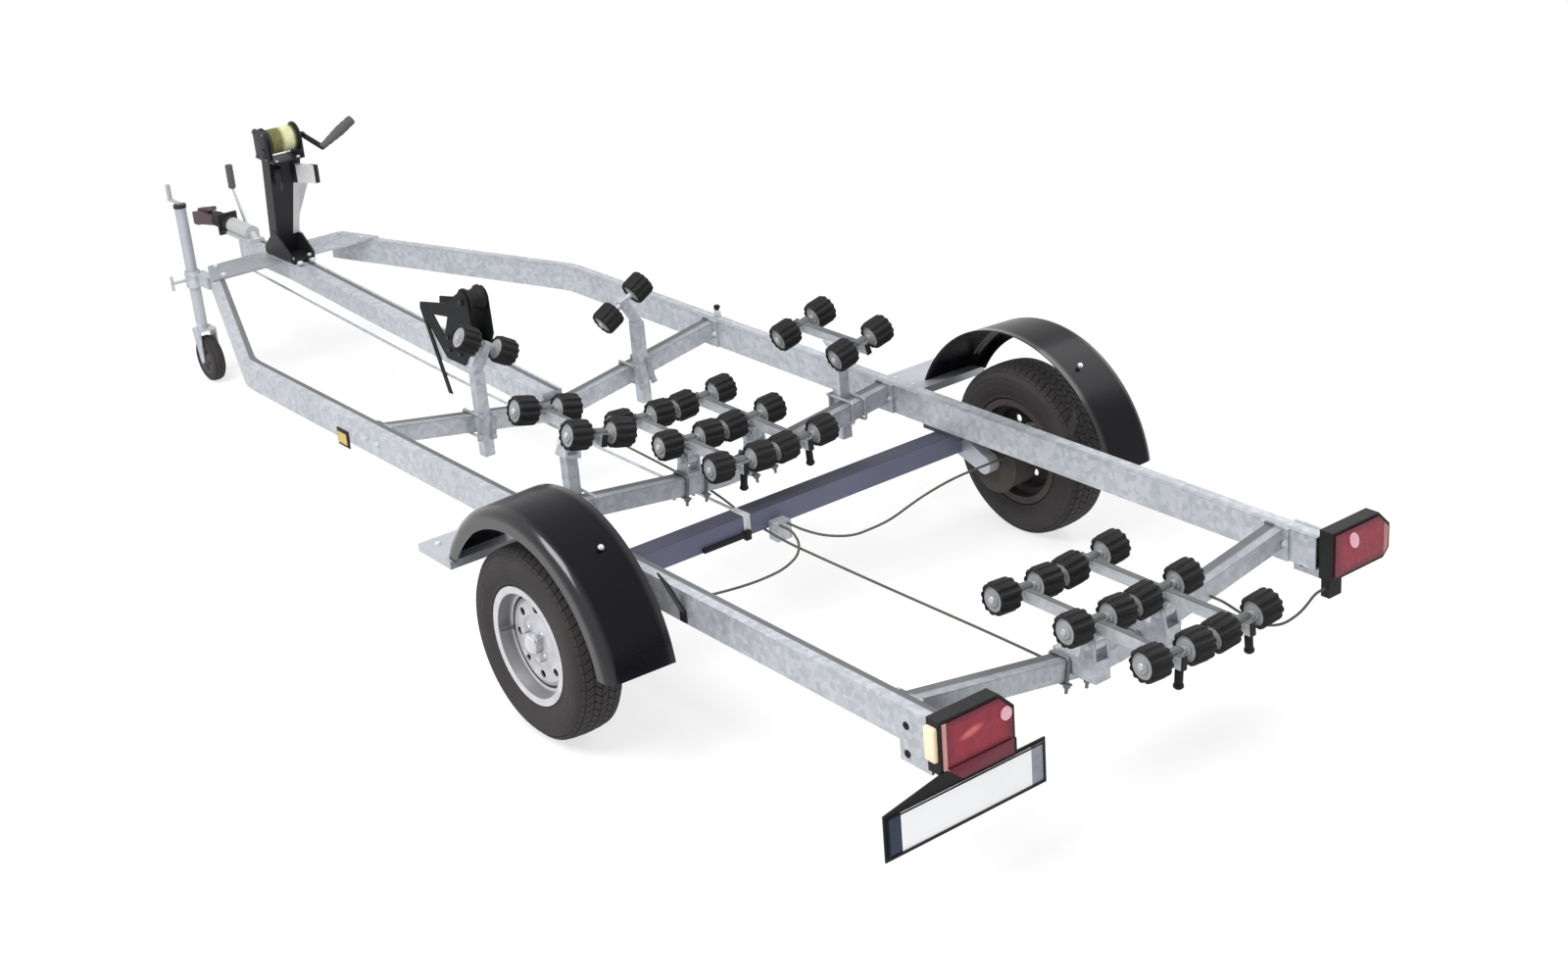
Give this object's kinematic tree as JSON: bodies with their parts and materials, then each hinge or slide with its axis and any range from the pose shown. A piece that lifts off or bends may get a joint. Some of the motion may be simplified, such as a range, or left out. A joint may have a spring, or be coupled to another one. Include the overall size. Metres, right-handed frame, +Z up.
{
  "type": "boat trailer",
  "caption": "Single-axle braked boat trailer: tubular V frame, rocking banks of ribbed rollers, winch post, jockey wheel and overrun ball coupling.",
  "frame": {"origin": "on the ground, midway between the coupling's nose and the last roller, on the trailer's middle line", "axes": "+X to the right, +Y forward to the coupling, +Z up"},
  "size_m": [2.14, 6.1112, 1.0906],
  "materials": {
    "galvanized_steel": "dull zinc coat with spangle",
    "frame_blue": "dark blue-grey steel",
    "black_steel": "black painted steel",
    "black_plastic": "glossy black plastic",
    "dull_plastic": "matt black plastic",
    "roller_rubber": "matt black rubber",
    "tyre": "tyre rubber",
    "rim_silver": "silver painted steel",
    "red_lens": "clear red plastic",
    "amber_lens": "clear amber plastic",
    "plate_white": "white reflective sheet",
    "webbing": "woven strap"
  },
  "bodies": {
    "chassis": {"axle_beam": "frame_blue", "brake_cables": "dull_plastic", "brake_rod": "galvanized_steel", "coupling_head": "black_steel", "crossmembers": "galvanized_steel", "drawbar_beam": "galvanized_steel", "end_plates": "galvanized_steel", "front_plate": "galvanized_steel", "handbrake_lever": "galvanized_steel", "jockey_clamp": "galvanized_steel", "keel_bracket": "black_steel", "lamp_brackets": "dull_plastic", "mudguard_left": "black_plastic", "mudguard_right": "black_plastic", "mudguard_stays": "galvanized_steel", "number_plate": "plate_white", "overrun_housing": "galvanized_steel", "pivot_brackets": "galvanized_steel", "roller_posts": "galvanized_steel", "side_rails": "galvanized_steel", "side_reflectors": "amber_lens", "swing_arms": "galvanized_steel", "tail_lamp_lenses": "red_lens", "tail_lamps": "dull_plastic", "winch_crank": "galvanized_steel", "winch_frame": "black_steel", "winch_post": "black_steel", "winch_strap": "webbing"},
    "wheel_left": {"tyre_left": "tyre", "wheel_rim_left": "rim_silver"},
    "wheel_right": {"tyre_right": "tyre", "wheel_rim_right": "rim_silver"},
    "jockey_column": {"jockey_tube": "galvanized_steel"},
    "jockey_swivel": {"jockey_fork": "galvanized_steel"},
    "jockey_roll": {"jockey_wheel": "tyre"},
    "rear_rocker_left": {"rear_rocker_left": "galvanized_steel"},
    "rear_rollers_1_left": {"rear_rollers_1_left": "roller_rubber"},
    "rear_rollers_2_left": {"rear_rollers_2_left": "roller_rubber"},
    "rear_rollers_3_left": {"rear_rollers_3_left": "roller_rubber"},
    "rear_rocker_right": {"rear_rocker_right": "galvanized_steel"},
    "rear_rollers_1_right": {"rear_rollers_1_right": "roller_rubber"},
    "rear_rollers_2_right": {"rear_rollers_2_right": "roller_rubber"},
    "rear_rollers_3_right": {"rear_rollers_3_right": "roller_rubber"},
    "middle_rocker_left": {"middle_rocker_left": "galvanized_steel"},
    "middle_rollers_1_left": {"middle_rollers_1_left": "roller_rubber"},
    "middle_rollers_2_left": {"middle_rollers_2_left": "roller_rubber"},
    "middle_rollers_3_left": {"middle_rollers_3_left": "roller_rubber"},
    "middle_rocker_right": {"middle_rocker_right": "galvanized_steel"},
    "middle_rollers_1_right": {"middle_rollers_1_right": "roller_rubber"},
    "middle_rollers_2_right": {"middle_rollers_2_right": "roller_rubber"},
    "middle_rollers_3_right": {"middle_rollers_3_right": "roller_rubber"},
    "side_rocker_left": {"side_rocker_left": "galvanized_steel"},
    "side_rollers_1_left": {"side_rollers_1_left": "roller_rubber"},
    "side_rollers_2_left": {"side_rollers_2_left": "roller_rubber"},
    "side_rocker_right": {"side_rocker_right": "galvanized_steel"},
    "side_rollers_1_right": {"side_rollers_1_right": "roller_rubber"},
    "side_rollers_2_right": {"side_rollers_2_right": "roller_rubber"},
    "front_rollers_left": {"front_rollers_left": "roller_rubber"},
    "front_rollers_right": {"front_rollers_right": "roller_rubber"},
    "keel_roller": {"keel_roller": "roller_rubber"}
  },
  "joints": [
    {"name": "wheel_left_spin", "type": "hinge", "parent": "chassis", "child": "wheel_left", "pos_m": [-0.963, -1.35165, 0.296], "axis": [1, 0, 0], "continuous": true},
    {"name": "wheel_right_spin", "type": "hinge", "parent": "chassis", "child": "wheel_right", "pos_m": [0.963, -1.35165, 0.296], "axis": [1, 0, 0], "continuous": true},
    {"name": "jockey_raise", "type": "slide", "parent": "chassis", "child": "jockey_column", "axis": [0, 0, 1], "range_m": [-0.06, 0.14]},
    {"name": "jockey_turn", "type": "hinge", "parent": "jockey_column", "child": "jockey_swivel", "pos_m": [-0.356, 2.34835, 0.262], "axis": [0, 0, 1], "continuous": true},
    {"name": "jockey_wheel_spin", "type": "hinge", "parent": "jockey_swivel", "child": "jockey_roll", "pos_m": [-0.356, 2.31835, 0.1], "axis": [1, 0, 0], "continuous": true},
    {"name": "rear_rock_left", "type": "hinge", "parent": "chassis", "child": "rear_rocker_left", "pos_m": [-0.13132, -2.73765, 0.47015], "axis": [0.9976, 0, -0.0698], "range_deg": [-12, 12]},
    {"name": "rear_rock_right", "type": "hinge", "parent": "chassis", "child": "rear_rocker_right", "pos_m": [0.13132, -2.73765, 0.47015], "axis": [0.9976, 0, 0.0698], "range_deg": [-12, 12]},
    {"name": "middle_rock_left", "type": "hinge", "parent": "chassis", "child": "middle_rocker_left", "pos_m": [-0.13132, -0.93165, 0.48115], "axis": [0.9976, 0, -0.0698], "range_deg": [-12, 12]},
    {"name": "middle_rock_right", "type": "hinge", "parent": "chassis", "child": "middle_rocker_right", "pos_m": [0.13132, -0.93165, 0.48115], "axis": [0.9976, 0, 0.0698], "range_deg": [-12, 12]},
    {"name": "side_rock_left", "type": "hinge", "parent": "chassis", "child": "side_rocker_left", "pos_m": [-0.533, -0.88165, 0.65184], "axis": [0.9703, 0, -0.2419], "range_deg": [-12, 12]},
    {"name": "side_rock_right", "type": "hinge", "parent": "chassis", "child": "side_rocker_right", "pos_m": [0.533, -0.88165, 0.65184], "axis": [0.9703, 0, 0.2419], "range_deg": [-12, 12]},
    {"name": "rear_rollers_1_left_spin", "type": "hinge", "parent": "rear_rocker_left", "child": "rear_rollers_1_left", "pos_m": [-0.127, -3.00765, 0.532], "axis": [0.9976, 0, -0.0698], "continuous": true},
    {"name": "rear_rollers_2_left_spin", "type": "hinge", "parent": "rear_rocker_left", "child": "rear_rollers_2_left", "pos_m": [-0.127, -2.73765, 0.532], "axis": [0.9976, 0, -0.0698], "continuous": true},
    {"name": "rear_rollers_3_left_spin", "type": "hinge", "parent": "rear_rocker_left", "child": "rear_rollers_3_left", "pos_m": [-0.127, -2.46765, 0.532], "axis": [0.9976, 0, -0.0698], "continuous": true},
    {"name": "rear_rollers_1_right_spin", "type": "hinge", "parent": "rear_rocker_right", "child": "rear_rollers_1_right", "pos_m": [0.127, -3.00765, 0.532], "axis": [0.9976, 0, 0.0698], "continuous": true},
    {"name": "rear_rollers_2_right_spin", "type": "hinge", "parent": "rear_rocker_right", "child": "rear_rollers_2_right", "pos_m": [0.127, -2.73765, 0.532], "axis": [0.9976, 0, 0.0698], "continuous": true},
    {"name": "rear_rollers_3_right_spin", "type": "hinge", "parent": "rear_rocker_right", "child": "rear_rollers_3_right", "pos_m": [0.127, -2.46765, 0.532], "axis": [0.9976, 0, 0.0698], "continuous": true},
    {"name": "middle_rollers_1_left_spin", "type": "hinge", "parent": "middle_rocker_left", "child": "middle_rollers_1_left", "pos_m": [-0.127, -1.20165, 0.543], "axis": [0.9976, 0, -0.0698], "continuous": true},
    {"name": "middle_rollers_2_left_spin", "type": "hinge", "parent": "middle_rocker_left", "child": "middle_rollers_2_left", "pos_m": [-0.127, -0.93165, 0.543], "axis": [0.9976, 0, -0.0698], "continuous": true},
    {"name": "middle_rollers_3_left_spin", "type": "hinge", "parent": "middle_rocker_left", "child": "middle_rollers_3_left", "pos_m": [-0.127, -0.66165, 0.543], "axis": [0.9976, 0, -0.0698], "continuous": true},
    {"name": "middle_rollers_1_right_spin", "type": "hinge", "parent": "middle_rocker_right", "child": "middle_rollers_1_right", "pos_m": [0.127, -1.20165, 0.543], "axis": [0.9976, 0, 0.0698], "continuous": true},
    {"name": "middle_rollers_2_right_spin", "type": "hinge", "parent": "middle_rocker_right", "child": "middle_rollers_2_right", "pos_m": [0.127, -0.93165, 0.543], "axis": [0.9976, 0, 0.0698], "continuous": true},
    {"name": "middle_rollers_3_right_spin", "type": "hinge", "parent": "middle_rocker_right", "child": "middle_rollers_3_right", "pos_m": [0.127, -0.66165, 0.543], "axis": [0.9976, 0, 0.0698], "continuous": true},
    {"name": "side_rollers_1_left_spin", "type": "hinge", "parent": "side_rocker_left", "child": "side_rollers_1_left", "pos_m": [-0.518, -1.03165, 0.712], "axis": [0.9703, 0, -0.2419], "continuous": true},
    {"name": "side_rollers_2_left_spin", "type": "hinge", "parent": "side_rocker_left", "child": "side_rollers_2_left", "pos_m": [-0.518, -0.73165, 0.712], "axis": [0.9703, 0, -0.2419], "continuous": true},
    {"name": "side_rollers_1_right_spin", "type": "hinge", "parent": "side_rocker_right", "child": "side_rollers_1_right", "pos_m": [0.518, -1.03165, 0.712], "axis": [0.9703, 0, 0.2419], "continuous": true},
    {"name": "side_rollers_2_right_spin", "type": "hinge", "parent": "side_rocker_right", "child": "side_rollers_2_right", "pos_m": [0.518, -0.73165, 0.712], "axis": [0.9703, 0, 0.2419], "continuous": true},
    {"name": "front_rollers_left_spin", "type": "hinge", "parent": "chassis", "child": "front_rollers_left", "pos_m": [-0.288, 0.01835, 0.682], "axis": [0.866, 0, -0.5], "continuous": true},
    {"name": "front_rollers_right_spin", "type": "hinge", "parent": "chassis", "child": "front_rollers_right", "pos_m": [0.288, 0.01835, 0.682], "axis": [0.866, 0, 0.5], "continuous": true},
    {"name": "keel_roller_spin", "type": "hinge", "parent": "chassis", "child": "keel_roller", "pos_m": [0, 0.59835, 0.645], "axis": [1, 0, 0], "continuous": true}
  ]
}
